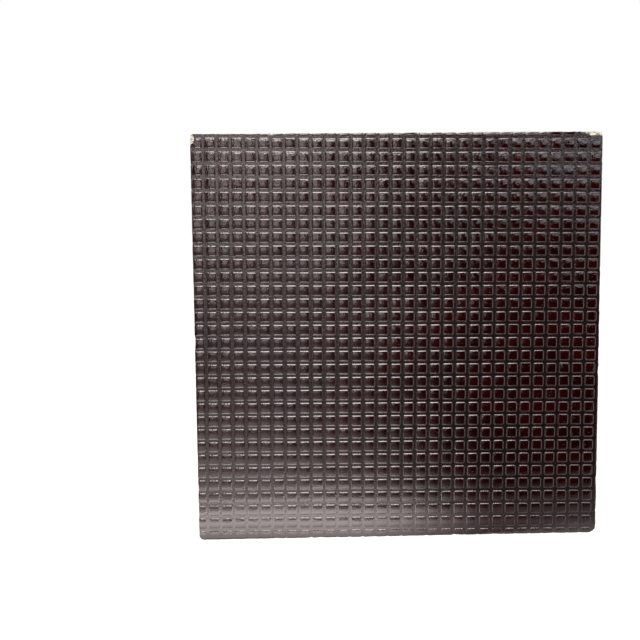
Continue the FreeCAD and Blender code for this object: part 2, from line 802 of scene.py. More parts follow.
@dataclass(frozen=True)
class BoardOutline:
    """Worn outline of the board in the front view."""

    half_width: float
    height: float
    top_left_wear: float = 0.6 * MM
    top_right_wear: float = 0.8 * MM
    bottom_right_wear: float = 1.9 * MM
    bottom_left_wear: float = 1.4 * MM
    fewest_steps: int = 3

    def distance(self, x: np.ndarray, z: np.ndarray) -> np.ndarray:
        """Signed distance from the outline, negative inside.

        Args:
            x: Places along the width.
            z: Places up the height, of the same shape.

        Returns:
            Distances, of the same shape.
        """
        half_height = self.height / 2.0
        rise = z - half_height
        upper = np.where(x < 0.0, self.top_left_wear, self.top_right_wear)
        lower = np.where(x < 0.0, self.bottom_left_wear, self.bottom_right_wear)
        radius = np.where(rise > 0.0, upper, lower)
        over_x = np.abs(x) - self.half_width + radius
        over_z = np.abs(rise) - half_height + radius
        outside = np.hypot(np.maximum(over_x, 0.0), np.maximum(over_z, 0.0))
        return outside + np.minimum(np.maximum(over_x, over_z), 0.0) - radius

    def perimeter(self, spacing: float) -> np.ndarray:
        """Points along the outline, from the lower right corner up and round to the left.

        Args:
            spacing: Largest step between two points.

        Returns:
            Array of points (x, z).
        """
        corners = (
            (self.half_width, 0.0, self.bottom_right_wear, -90.0),
            (self.half_width, self.height, self.top_right_wear, 0.0),
            (-self.half_width, self.height, self.top_left_wear, 90.0),
            (-self.half_width, 0.0, self.bottom_left_wear, 180.0),
        )
        arcs = [self.corner_arc(*corner, spacing) for corner in corners]
        points: list[np.ndarray] = []
        for arc, following in zip(arcs, arcs[1:] + arcs[:1]):
            points.append(arc)
            steps = math.ceil(np.linalg.norm(following[0] - arc[-1]) / spacing)
            share = np.arange(1, steps)[:, None] / steps
            points.append(arc[-1] + share * (following[0] - arc[-1]))
        return np.concatenate(points)

    def corner_arc(self, x: float, z: float, radius: float, start: float, spacing: float) -> np.ndarray:
        """Points along one rounded corner.

        Args:
            x: Place of the sharp corner along the width.
            z: Place of the sharp corner up the height.
            radius: Radius of the round.
            start: Angle at which the round starts, in degrees.
            spacing: Largest step between two points.

        Returns:
            Array of points (x, z).
        """
        steps = max(self.fewest_steps, math.ceil(radius * math.pi / 2.0 / spacing))
        angle = np.radians(start + 90.0 * np.arange(steps + 1) / steps)
        middle_x = x - math.copysign(radius, x)
        middle_z = z + (radius if z == 0.0 else -radius)
        return np.stack([middle_x + radius * np.cos(angle), middle_z + radius * np.sin(angle)], axis=1)


def object_from(name: str, mesh: bpy.types.Mesh, material: bpy.types.Material) -> bpy.types.Object:
    """Put a mesh in the scene.

    Args:
        name: Name of the new object.
        mesh: Mesh to show.
        material: Material of the whole mesh.

    Returns:
        The new object.
    """
    made = bpy.data.objects.new(name, mesh)
    mesh.materials.append(material)
    bpy.context.scene.collection.objects.link(made)
    return made


def seat(piece: bpy.types.Object, node: str) -> bpy.types.Object:
    """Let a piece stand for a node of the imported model.

    Args:
        piece: Dressed piece.
        node: Node that it stands for.

    Returns:
        The same piece.
    """
    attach(piece, ROOT_BODY)
    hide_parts(node)
    return piece


@dataclass
class MeshFilm:
    """Front film: crowned squares with a raised lip, between the grooves that a wire mesh pressed into it.

    The first sizes shape the squares, the next ones the film's edge, and the last ones its grid of points.
    """

    outline: BoardOutline
    pattern: MeshPattern
    finish: MeshFilmFinish = field(default_factory=MeshFilmFinish)
    node: str = "front_film"
    slot: str = "mesh_film"
    crown: float = 0.11 * MM
    crown_across: float = 0.8
    crown_limit: float = 1.2
    rim_width: float = 0.2 * MM
    rim_drop: float = 0.1 * MM
    rim_power: float = 1.35
    lip_width: float = 0.12 * MM
    lip_rise: float = 0.047 * MM
    floor_hollow: float = 0.006 * MM
    irregular: float = 0.022 * MM
    lean: float = 0.012
    swell_share: float = 0.12
    warp: float = 0.02 * MM
    warp_wave: float = 22.0 * MM
    edge_round: float = 0.03 * MM
    edge_ragged: float = 0.03 * MM
    ragged_wave: float = 1.4 * MM
    ragged_fine_wave: float = 0.5 * MM
    ragged_fine_share: float = 0.6
    nicks: tuple[Nick, ...] = (
        Nick(Side.TOP, 8.2 * MM, 1.6 * MM, 0.12 * MM),
        Nick(Side.TOP, 19.6 * MM, 2.6 * MM, 0.3 * MM),
        Nick(Side.TOP, 36.6 * MM, 2.2 * MM, 0.26 * MM),
        Nick(Side.TOP, 51.0 * MM, 1.4 * MM, 0.2 * MM),
        Nick(Side.TOP, 57.5 * MM, 2.4 * MM, 0.24 * MM),
        Nick(Side.TOP, 64.5 * MM, 1.5 * MM, 0.22 * MM),
        Nick(Side.TOP, 98.4 * MM, 5.4 * MM, 1.0 * MM),
        Nick(Side.BOTTOM, 30.5 * MM, 1.2 * MM, 0.16 * MM),
        Nick(Side.BOTTOM, 64.6 * MM, 2.0 * MM, 0.3 * MM),
        Nick(Side.BOTTOM, 74.2 * MM, 1.4 * MM, 0.24 * MM),
        Nick(Side.BOTTOM, 84.0 * MM, 0.9 * MM, 0.2 * MM),
        Nick(Side.LEFT, 98.8 * MM, 2.5 * MM, 1.1 * MM),
        Nick(Side.LEFT, 50.6 * MM, 1.5 * MM, 0.34 * MM),
        Nick(Side.LEFT, 56.4 * MM, 1.0 * MM, 0.2 * MM),
        Nick(Side.RIGHT, 3.6 * MM, 2.0 * MM, 0.2 * MM),
        Nick(Side.RIGHT, 41.0 * MM, 1.2 * MM, 0.14 * MM),
    )
    border: float = 4.5 * MM
    border_gap: float = 0.5 * MM
    fit_margin: float = 0.1 * MM
    least_overlap: float = 0.02 * MM
    trim_step: float = 0.01 * MM
    trim_rounds: int = 4
    least_steepness: float = 0.5
    weld: float = 0.002 * MM
    fold_reach: int = 6
    normal_step: float = 0.002 * MM
    normal_inset: float = 0.04
    front_facing: float = -0.3
    draw_count: int = 101
    seed: int = 7

    def build(self) -> bpy.types.Object:
        """Build and dress the film.

        Returns:
            The dressed piece.
        """
        low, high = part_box(self.node)
        lines = self.grid_lines()
        along, up = self.fitted(*np.meshgrid(lines, lines, indexing="ij"))
        x, z = self.pattern.to_board(along, up)
        distance = self.edge_distance(x, z)
        corners = np.stack([distance[:-1, :-1], distance[1:, :-1], distance[1:, 1:], distance[:-1, 1:]])
        kept = corners.min(axis=0) < -self.least_overlap
        x, z = self.trimmed(x, z)
        index = np.arange(x.size).reshape(x.shape)
        quads = np.stack([index[:-1, :-1], index[1:, :-1], index[1:, 1:], index[:-1, 1:]], axis=-1)[kept]
        used, faces = np.unique(quads, return_inverse=True)
        x, z = x.ravel()[used], z.ravel()[used]
        points = np.stack([x, low.y + self.relief(x, z), z], axis=1)
        mesh = self.closed_mesh(points, faces.reshape(quads.shape), high.y)
        self.shade(mesh)
        piece = object_from("mesh_film", mesh, self.finish.material(self.pattern))
        return seat(piece, self.node)

    def grid_lines(self) -> np.ndarray:
        """Places of the grid's lines along one direction of the mesh.

        Returns:
            Sorted places, close together at the squares' rims and along the board's border.
        """
        pitch, half = self.pattern.pitch, self.pattern.square_half
        reach = math.hypot(self.outline.half_width, self.outline.height / 2.0)
        count = math.ceil(reach / pitch) + 1
        cells = np.arange(-count, count + 1)[:, None] * pitch
        crest = half - self.rim_width
        rim = np.array([crest - self.lip_width, crest - self.lip_width / 2.0, crest, half])
        lines = (cells + np.concatenate([-rim[::-1], rim, [pitch / 2.0]])).ravel()
        gap = np.diff(lines)
        near_edge = np.abs(lines[:-1] + gap / 2.0) > self.outline.half_width - self.border
        wide = near_edge & (gap > self.border_gap)
        thirds = [lines[:-1][wide] + share * gap[wide] for share in (1.0 / 3.0, 2.0 / 3.0)]
        return np.sort(np.concatenate([lines, *thirds]))

    def squares(self, along: np.ndarray, up: np.ndarray) -> tuple[np.ndarray, ...]:
        """Find the square round each place and draw that square's own irregularities.

        Args:
            along: Places along the rows of the mesh.
            up: Places up the columns of the mesh.

        Returns:
            Places from the square's middle along and up, then six random numbers of the square.
        """
        pitch, count = self.pattern.pitch, self.draw_count
        column = np.round(along / pitch).astype(int)
        row = np.round(up / pitch).astype(int)
        draws = np.random.default_rng(self.seed).normal(0.0, 1.0, (6, count, count))
        own = draws[:, column + count // 2, row + count // 2]
        return along - column * pitch, up - row * pitch, *own

    def fitted(self, along: np.ndarray, up: np.ndarray) -> tuple[np.ndarray, np.ndarray]:
        """Move the points of an even grid with the irregular squares that they belong to.

        Args:
            along: Places along the rows of the mesh.
            up: Places up the columns of the mesh.

        Returns:
            Moved places along and up.
        """
        from_along, from_up, push_along, push_up, grow, *_ = self.squares(along, up)
        reach = self.pattern.square_half + self.fit_margin
        inside = self.irregular * ((np.abs(from_along) < reach) & (np.abs(from_up) < reach))
        moved_along = along + inside * (push_along + grow * np.sign(from_along))
        return moved_along, up + inside * (push_up + grow * np.sign(from_up))

    def edge_distance(self, x: np.ndarray, z: np.ndarray) -> np.ndarray:
        """Signed distance from the film's ragged edge, negative inside.

        Args:
            x: Places along the width.
            z: Places up the height.

        Returns:
            Distances, of the same shape.
        """
        broad = Ripple(self.seed, self.ragged_wave).at(x, z)
        fine = Ripple(self.seed + 1, self.ragged_fine_wave).at(x, z)
        ragged = np.maximum(broad + self.ragged_fine_share * fine, 0.0)
        distance = self.outline.distance(x, z) + self.edge_ragged * ragged
        for nick in self.nicks:
            distance = np.maximum(distance, self.nick_distance(nick, x, z))
        return distance

    def nick_distance(self, nick: Nick, x: np.ndarray, z: np.ndarray) -> np.ndarray:
        """Distance into one nick, positive where the film is gone.

        Args:
            nick: The nick.
            x: Places along the width.
            z: Places up the height.

        Returns:
            Distances, of the same shape.
        """
        inward = {
            Side.LEFT: x + self.outline.half_width,
            Side.RIGHT: self.outline.half_width - x,
            Side.TOP: self.outline.height - z,
            Side.BOTTOM: z,
        }[nick.side]
        beside = x + self.outline.half_width if nick.side.level else z
        shape = 1.0 - ((beside - nick.place) / (nick.length / 2.0)) ** 2
        bite = nick.depth * np.sqrt(np.maximum(shape, 0.0)) - inward
        return np.where(shape > 0.0, bite, -self.pattern.pitch)

    def trimmed(self, x: np.ndarray, z: np.ndarray) -> tuple[np.ndarray, np.ndarray]:
        """Pull the points that lie beyond the film's edge back to it.

        Args:
            x: Places along the width.
            z: Places up the height.

        Returns:
            Moved places x and z.
        """
        for _ in range(self.trim_rounds):
            beyond = np.maximum(self.edge_distance(x, z), 0.0)
            slope_x, slope_z = slopes(self.edge_distance, x, z, self.trim_step)
            steepness = np.maximum(slope_x**2 + slope_z**2, self.least_steepness)
            x = x - beyond * slope_x / steepness
            z = z - beyond * slope_z / steepness
        return x, z

    def relief(self, x: np.ndarray, z: np.ndarray) -> np.ndarray:
        """Depth of the film's surface behind the tops of the squares.

        Args:
            x: Places along the width.
            z: Places up the height.

        Returns:
            Depths, of the same shape.
        """
        pitch, half, corner = self.pattern.pitch, self.pattern.square_half, self.pattern.square_corner
        own = self.squares(*self.pattern.to_mesh(x, z))
        along, up, push_along, push_up, grow, tilt_along, tilt_up, swell = own
        along = along - self.irregular * push_along
        up = up - self.irregular * push_up
        core = half + self.irregular * grow - corner
        over_along, over_up = np.abs(along) - core, np.abs(up) - core
        outside = np.hypot(np.maximum(over_along, 0.0), np.maximum(over_up, 0.0))
        rim = outside + np.minimum(np.maximum(over_along, over_up), 0.0) - corner
        bend = np.clip(rim / self.rim_width + 1.0, 0.0, 1.0)
        lip = self.lip_rise * smooth_step(rim + self.rim_width, -self.lip_width, 0.0)
        floor_half = pitch / 2.0 - half
        hollow = 1.0 - np.clip(1.0 - rim / floor_half, 0.0, 1.0) ** 2
        floor = self.floor_hollow * np.where(rim > 0.0, hollow, 0.0)
        groove = self.rim_drop * bend**self.rim_power + floor
        square = np.where(rim < 0.0, 1.0, 0.0)
        bulge = np.minimum((self.crown_across * along**2 + up**2) / half**2, self.crown_limit)
        crown = self.crown * (1.0 + (bulge * (1.0 + self.swell_share * swell) - 1.0) * square)
        tilt = (self.lean * (tilt_along * along + tilt_up * up) - lip) * square
        warp = self.warp * Ripple(self.seed + 2, self.warp_wave).at(x, z)
        worn = self.edge_round * np.exp(np.minimum(self.edge_distance(x, z), 0.0) / self.edge_round)
        return crown + groove + tilt + warp + worn

    def shade(self, mesh: bpy.types.Mesh) -> None:
        """Give the patterned front the exact normals of its relief, and the cut edge and back flat ones.

        Args:
            mesh: Closed mesh of the film.
        """
        places = np.empty(3 * len(mesh.vertices))
        mesh.vertices.foreach_get("co", places)
        middle = np.empty(3 * len(mesh.polygons))
        mesh.polygons.foreach_get("center", middle)
        flat = np.empty(3 * len(mesh.polygons))
        mesh.polygons.foreach_get("normal", flat)
        count = np.empty(len(mesh.polygons), dtype=int)
        mesh.polygons.foreach_get("loop_total", count)
        vertex = np.empty(len(mesh.loops), dtype=int)
        mesh.loops.foreach_get("vertex_index", vertex)
        middle = np.repeat(middle.reshape(-1, 3), count, axis=0)
        flat = np.repeat(flat.reshape(-1, 3), count, axis=0)
        inset = self.normal_inset
        x, _, z = ((1.0 - inset) * places.reshape(-1, 3)[vertex] + inset * middle).T
        slope_x, slope_z = slopes(self.relief, x, z, self.normal_step)
        front = np.stack([slope_x, -np.ones(len(x)), slope_z], axis=1)
        front /= np.linalg.norm(front, axis=1)[:, None]
        patterned = flat[:, 1] < self.front_facing
        mesh.normals_split_custom_set(np.where(patterned[:, None], front, flat).tolist())

    def closed_mesh(self, points: np.ndarray, faces: np.ndarray, back_y: float) -> bpy.types.Mesh:
        """Close the film with its cut edge and its flat back.

        Args:
            points: Points of the front surface.
            faces: Quads of the front surface.
            back_y: Depth of the flat back.

        Returns:
            Closed mesh with smooth shading.
        """
        mesh = bpy.data.meshes.new("mesh_film")
        mesh.from_pydata(points.tolist(), [], faces.tolist())
        body = bmesh.new()
        body.from_mesh(mesh)
        bmesh.ops.dissolve_degenerate(body, dist=self.weld, edges=body.edges)
        rim = self.clean_rim(body)
        back = [body.verts.new((place.x, back_y, place.y)) for place in self.back_places(rim)]
        for here in range(len(rim)):
            body.faces.new((rim[here - 1], rim[here], back[here], back[here - 1]))
        body.faces.new(back)
        bmesh.ops.recalc_face_normals(body, faces=body.faces)
        if body.calc_volume(signed=True) < 0.0:
            bmesh.ops.reverse_faces(body, faces=body.faces)
        body.to_mesh(mesh)
        body.free()
        mesh.polygons.foreach_set("use_smooth", [True] * len(mesh.polygons))
        return mesh

    def back_places(self, rim: list[bmesh.types.BMVert]) -> list[Vector]:
        """Places x and z of the back's outline, which follows the rim but turns its small folds round.

        Args:
            rim: Vertices of the front surface's rim, in order.

        Returns:
            One place for each vertex, along an outline that doesn't cross itself.
        """
        places = [Vector((vertex.co.x, vertex.co.z)) for vertex in rim]
        waiting = True
        while waiting:
            waiting = False
            for here, reach in product(range(len(places)), range(2, self.fold_reach + 1)):
                spots = [(here + step) % len(places) for step in range(reach + 2)]
                ends = [places[spot] for spot in spots]
                if crossing(*ends[:2], *ends[-2:]):
                    waiting = True
                    for spot, place in zip(spots[1:-1], reversed(ends[1:-1])):
                        places[spot] = place
        return places

    @staticmethod
    def clean_rim(body: bmesh.types.BMesh) -> list[bmesh.types.BMVert]:
        """Free the front surface of loose crumbs and part the places where its rim touches itself.

        Args:
            body: Open mesh of the front surface, which is changed.

        Returns:
            Vertices of the rim, in order.
        """
        bmesh.ops.delete(body, geom=[edge for edge in body.edges if edge.is_wire], context="EDGES")
        for vertex in list(body.verts):
            if sum(edge.is_boundary for edge in vertex.link_edges) > 2:
                bmesh.utils.vert_separate(vertex, [])
        rims: list[list[bmesh.types.BMVert]] = []
        waiting = dict.fromkeys(edge for edge in body.edges if edge.is_boundary)
        while waiting:
            edge = next(iter(waiting))
            del waiting[edge]
            rim = [edge.verts[0], edge.verts[1]]
            while rim[-1] is not rim[0]:
                edge = next(item for item in rim[-1].link_edges if item in waiting)
                del waiting[edge]
                rim.append(edge.other_vert(rim[-1]))
            rims.append(rim[:-1])
        longest = max(rims, key=len)
        crumbs = [vertex for rim in rims if rim is not longest for vertex in rim]
        bmesh.ops.delete(body, geom=crumbs, context="VERTS")
        loose = [vertex for vertex in body.verts if not vertex.link_faces]
        bmesh.ops.delete(body, geom=loose, context="VERTS")
        return longest


@dataclass
class TornFibres:
    """Pale fibres that stand out of the wood where the film's edge broke away."""

    outline: BoardOutline
    front_y: float
    wood_y: float
    finish: FibreFinish = field(default_factory=FibreFinish)
    slot: str = "long_veneer"
    thickness: float = 0.09 * MM
    lean: float = 0.16
    crowding: float = 1.5
    length_shares: Range = (0.35, 0.9)
    width_shares: Range = (0.5, 1.0)
    rise_shares: Range = (0.3, 1.0)
    seed: int = 11
    frays: tuple[Fray, ...] = (
        Fray(Side.TOP, 94.4 * MM, 99.9 * MM, 1.25 * MM, 54, 1.1 * MM),
        Fray(Side.TOP, 17.5 * MM, 21.5 * MM, 0.22 * MM, 9, 0.9 * MM),
        Fray(Side.TOP, 35.3 * MM, 37.9 * MM, 0.2 * MM, 7, 0.9 * MM),
        Fray(Side.LEFT, 97.6 * MM, 99.6 * MM, 0.95 * MM, 12, 0.7 * MM),
        Fray(Side.LEFT, 48.9 * MM, 51.6 * MM, 0.3 * MM, 10, 0.7 * MM),
        Fray(Side.LEFT, 1.2 * MM, 4.0 * MM, 0.3 * MM, 9, 0.6 * MM),
        Fray(Side.BOTTOM, 1.0 * MM, 6.5 * MM, 0.3 * MM, 16, 0.6 * MM),
        Fray(Side.BOTTOM, 63.2 * MM, 66.0 * MM, 0.32 * MM, 12, 0.7 * MM),
        Fray(Side.BOTTOM, 73.3 * MM, 75.2 * MM, 0.24 * MM, 7, 0.6 * MM),
        Fray(Side.RIGHT, 3.0 * MM, 12.0 * MM, 0.12 * MM, 22, 0.8 * MM),
    )

    def build(self) -> bpy.types.Object:
        """Build and dress the fibres as one piece.

        Returns:
            The dressed piece.
        """
        draw = np.random.default_rng(self.seed)
        body = bmesh.new()
        for fray in self.frays:
            for _ in range(fray.count):
                self.add_fibre(body, fray, draw)
        bmesh.ops.recalc_face_normals(body, faces=body.faces)
        mesh = bpy.data.meshes.new("torn_fibres")
        body.to_mesh(mesh)
        body.free()
        piece = object_from("torn_fibres", mesh, self.finish.material())
        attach(piece, ROOT_BODY)
        return piece

    def add_fibre(self, body: bmesh.types.BMesh, fray: Fray, draw: np.random.Generator) -> None:
        """Add one spindle that tapers to both ends, with its back in the wood.

        Args:
            body: Mesh that gets the fibre.
            fray: Stretch of the edge that it stands on.
            draw: Source of the random draws.
        """
        beside = draw.uniform(fray.start, fray.end)
        inward = fray.reach * draw.uniform(0.0, 1.0) ** self.crowding
        half_length = fray.length * draw.uniform(*self.length_shares) / 2.0
        slope = draw.normal(0.0, self.lean)
        x, z = {
            Side.LEFT: (inward - self.outline.half_width, beside),
            Side.RIGHT: (self.outline.half_width - inward, beside),
            Side.TOP: (beside - self.outline.half_width, self.outline.height - inward),
            Side.BOTTOM: (beside - self.outline.half_width, inward),
        }[fray.side]
        course = (1.0, 0.0, slope) if fray.side.level else (slope, 0.0, 1.0)
        run = Vector(course).normalized() * half_length
        width = self.thickness * draw.uniform(*self.width_shares)
        side = Vector((-run.z, 0.0, run.x)).normalized() * width / 2.0
        out_y = self.wood_y + (self.front_y - self.wood_y) * draw.uniform(*self.rise_shares)
        middle = Vector((x, self.wood_y, z))
        front = Vector((x, out_y, z))
        tips = [body.verts.new(middle - run), body.verts.new(middle + run)]
        places = (front - side, front + side, middle + side, middle - side)
        ring = [body.verts.new(place) for place in places]
        for tip in tips:
            for here, there in zip(ring, ring[1:] + ring[:1]):
                body.faces.new((tip, here, there))


@dataclass
class SawnLayer:
    """One layer of the stack, with the outline of the board and a sawn edge."""

    outline: BoardOutline
    node: str
    slot: str
    seed: int
    roughness: float = 0.03 * MM
    recess: float = 0.02 * MM
    lip: float = 0.05 * MM
    lip_depth: float = 0.03 * MM
    spacing: float = 0.45 * MM
    rows: int = 4
    waves: Range = (0.7 * MM, 9.0 * MM)
    wave_shares: Range = (0.6, 0.5)
    sharp_angle: float = math.radians(38.0)

    def build_mesh(self) -> bpy.types.Mesh:
        """Closed slab whose edge is a little rough, and set back along both glue lines.

        Returns:
            Closed mesh with smooth shading.
        """
        low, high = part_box(self.node)
        ring = self.outline.perimeter(self.spacing)
        tangent = np.roll(ring, -1, axis=0) - np.roll(ring, 1, axis=0)
        tangent /= np.linalg.norm(tangent, axis=1)[:, None]
        inward = np.stack([-tangent[:, 1], tangent[:, 0]], axis=1)
        length = np.linalg.norm(np.roll(ring, -1, axis=0) - ring, axis=1)
        along = np.concatenate([[0.0], np.cumsum(length)[:-1]])
        depths = np.concatenate(
            [[low.y], np.linspace(low.y + self.lip, high.y - self.lip, self.rows), [high.y]]
        )
        ripples = [Ripple(self.seed + order, wave) for order, wave in enumerate(self.waves)]
        rings = []
        for depth in depths:
            level = np.full(len(along), depth)
            parts = [share * ripple.at(along, level) for share, ripple in zip(self.wave_shares, ripples)]
            rough = self.roughness * np.maximum(sum(parts), 0.0)
            set_back = self.recess + rough + (self.lip_depth if depth in (low.y, high.y) else 0.0)
            moved = ring + inward * set_back[:, None]
            rings.append(np.stack([moved[:, 0], level, moved[:, 1]], axis=1))
        return self.ring_mesh(rings)

    def ring_mesh(self, rings: list[np.ndarray]) -> bpy.types.Mesh:
        """Join rings of points into a closed mesh with a flat face at each end.

        Args:
            rings: Rings with equal numbers of points, from the front to the back.

        Returns:
            Closed mesh with smooth shading.
        """
        count = len(rings[0])
        body = bmesh.new()
        verts = [[body.verts.new(point) for point in ring] for ring in rings]
        for front, back in zip(verts, verts[1:]):
            for here in range(count):
                there = (here + 1) % count
                body.faces.new((front[here], front[there], back[there], back[here]))
        body.faces.new(verts[0])
        body.faces.new(list(reversed(verts[-1])))
        bmesh.ops.recalc_face_normals(body, faces=body.faces)
        mesh = bpy.data.meshes.new(self.node)
        body.to_mesh(mesh)
        body.free()
        mesh.polygons.foreach_set("use_smooth", [True] * len(mesh.polygons))
        mesh.set_sharp_from_angle(angle=self.sharp_angle)
        return mesh


@dataclass
class Veneer(SawnLayer):
    """One veneer with its own tone and direction of grain."""

    grain: Grain = field(kw_only=True)
    finish: VeneerFinish = field(kw_only=True)

    def build(self) -> bpy.types.Object:
        """Build and dress the veneer.

        Returns:
            The dressed piece.
        """
        low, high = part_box(self.node)
        material = self.finish.material(self.node, self.grain, low.y, high.y)
        piece = object_from("sawn_" + self.node, self.build_mesh(), material)
        return seat(piece, self.node)


@dataclass
class VeneerStack:
    """The seven veneers between the films, glued with their grain crossing."""

    outline: BoardOutline
    long_slot: str = "long_veneer"
    cross_slot: str = "cross_veneer"
    first_seed: int = 20
    seed_step: int = 3

    def build(self) -> list[bpy.types.Object]:
        """Build and dress every veneer.

        Returns:
            The dressed pieces, from the front to the back.
        """
        tan_yellow = VeneerFinish((0.66, 0.47, 0.27), (0.85, 0.72, 0.53), (0.42, 0.26, 0.13))
        tan_olive = VeneerFinish((0.55, 0.43, 0.29), (0.8, 0.69, 0.52), (0.36, 0.25, 0.15))
        tan_pink = VeneerFinish((0.6, 0.41, 0.25), (0.82, 0.68, 0.5), (0.38, 0.22, 0.12))
        cream = VeneerFinish((0.68, 0.5, 0.31), (0.88, 0.77, 0.58), (0.6, 0.44, 0.27))
        pale_cream = VeneerFinish((0.7, 0.53, 0.34), (0.88, 0.78, 0.62), (0.62, 0.47, 0.3))
        layers = (
            ("front_face_veneer", Grain.ACROSS, tan_olive),
            ("front_crossband", Grain.UPRIGHT, pale_cream),
            ("front_long_core", Grain.ACROSS, tan_yellow),
            ("centre_crossband", Grain.UPRIGHT, cream),
            ("back_long_core", Grain.ACROSS, tan_pink),
            ("back_crossband", Grain.UPRIGHT, cream),
            ("back_face_veneer", Grain.ACROSS, tan_yellow),
        )
        pieces = []
        for order, (node, grain, finish) in enumerate(layers):
            slot = self.long_slot if grain is Grain.ACROSS else self.cross_slot
            seed = self.first_seed + self.seed_step * order
            veneer = Veneer(self.outline, node, slot, seed, grain=grain, finish=finish)
            pieces.append(veneer.build())
        return pieces


@dataclass
class BackFilm(SawnLayer):
    """Smooth film on the back."""

    node: str = "back_film"
    slot: str = "smooth_film"
    seed: int = 60
    lip: float = 0.06 * MM
    rows: int = 2
    finish: SmoothFilmFinish = field(default_factory=SmoothFilmFinish)

    def build(self) -> bpy.types.Object:
        """Build and dress the film.

        Returns:
            The dressed piece.
        """
        piece = object_from("smooth_film", self.build_mesh(), self.finish.material())
        return seat(piece, self.node)


@dataclass(frozen=True)
class SoftBox:
    """Rectangular studio lamp with an even face."""

    name: str
    azimuth: float
    elevation: float
    distance: float
    width: float
    height: float
    brightness: float
    colour: Colour = WARM_WHITE

    def build(self) -> bpy.types.Object:
        """Put the lamp in the scene, aimed at the board and unseen by the camera itself.

        Returns:
            The lamp.
        """
        turn, rise = math.radians(self.azimuth), math.radians(self.elevation)
        level = math.cos(rise)
        away = Vector((math.sin(turn) * level, -math.cos(turn) * level, math.sin(rise)))
        light = bpy.data.lights.new(self.name, "AREA")
        light.shape = "RECTANGLE"
        light.size = self.width
        light.size_y = self.height
        light.color = self.colour
        light.energy = self.brightness * math.pi * self.width * self.height
        lamp = bpy.data.objects.new(self.name, light)
        lamp.location = (CAD_BOX[0] + CAD_BOX[1]) / 2.0 + self.distance * away
        lamp.rotation_mode = "QUATERNION"
        lamp.rotation_quaternion = away.to_track_quat("Z", "Y")
        lamp.visible_camera = False
        bpy.context.scene.collection.objects.link(lamp)
        return lamp


def strip(sides: Range, place: Range, far_sides: Range, far_place: Range) -> list[Point]:
    """Corners of a flat strip between two straight edges that run along the width.

    Args:
        sides: Left and right end of the first edge.
        place: Depth and height of the first edge.
        far_sides: Left and right end of the second edge.
        far_place: Depth and height of the second edge.

    Returns:
        The four corners, in order.
    """
    first = [(x, *place) for x in sides]
    second = [(x, *far_place) for x in reversed(far_sides)]
    return first + second


def add_sheet(name: str, corners: Sequence[Point], material: bpy.types.Material) -> bpy.types.Object:
    """Add one flat sheet of the stage.

    Args:
        name: Name of the sheet.
        corners: Its corners, in order.
        material: Its material.

    Returns:
        The sheet.
    """
    mesh = bpy.data.meshes.new(name)
    mesh.from_pydata(corners, [], [tuple(range(len(corners)))])
    sheet = object_from(name, mesh, material)
    return sheet


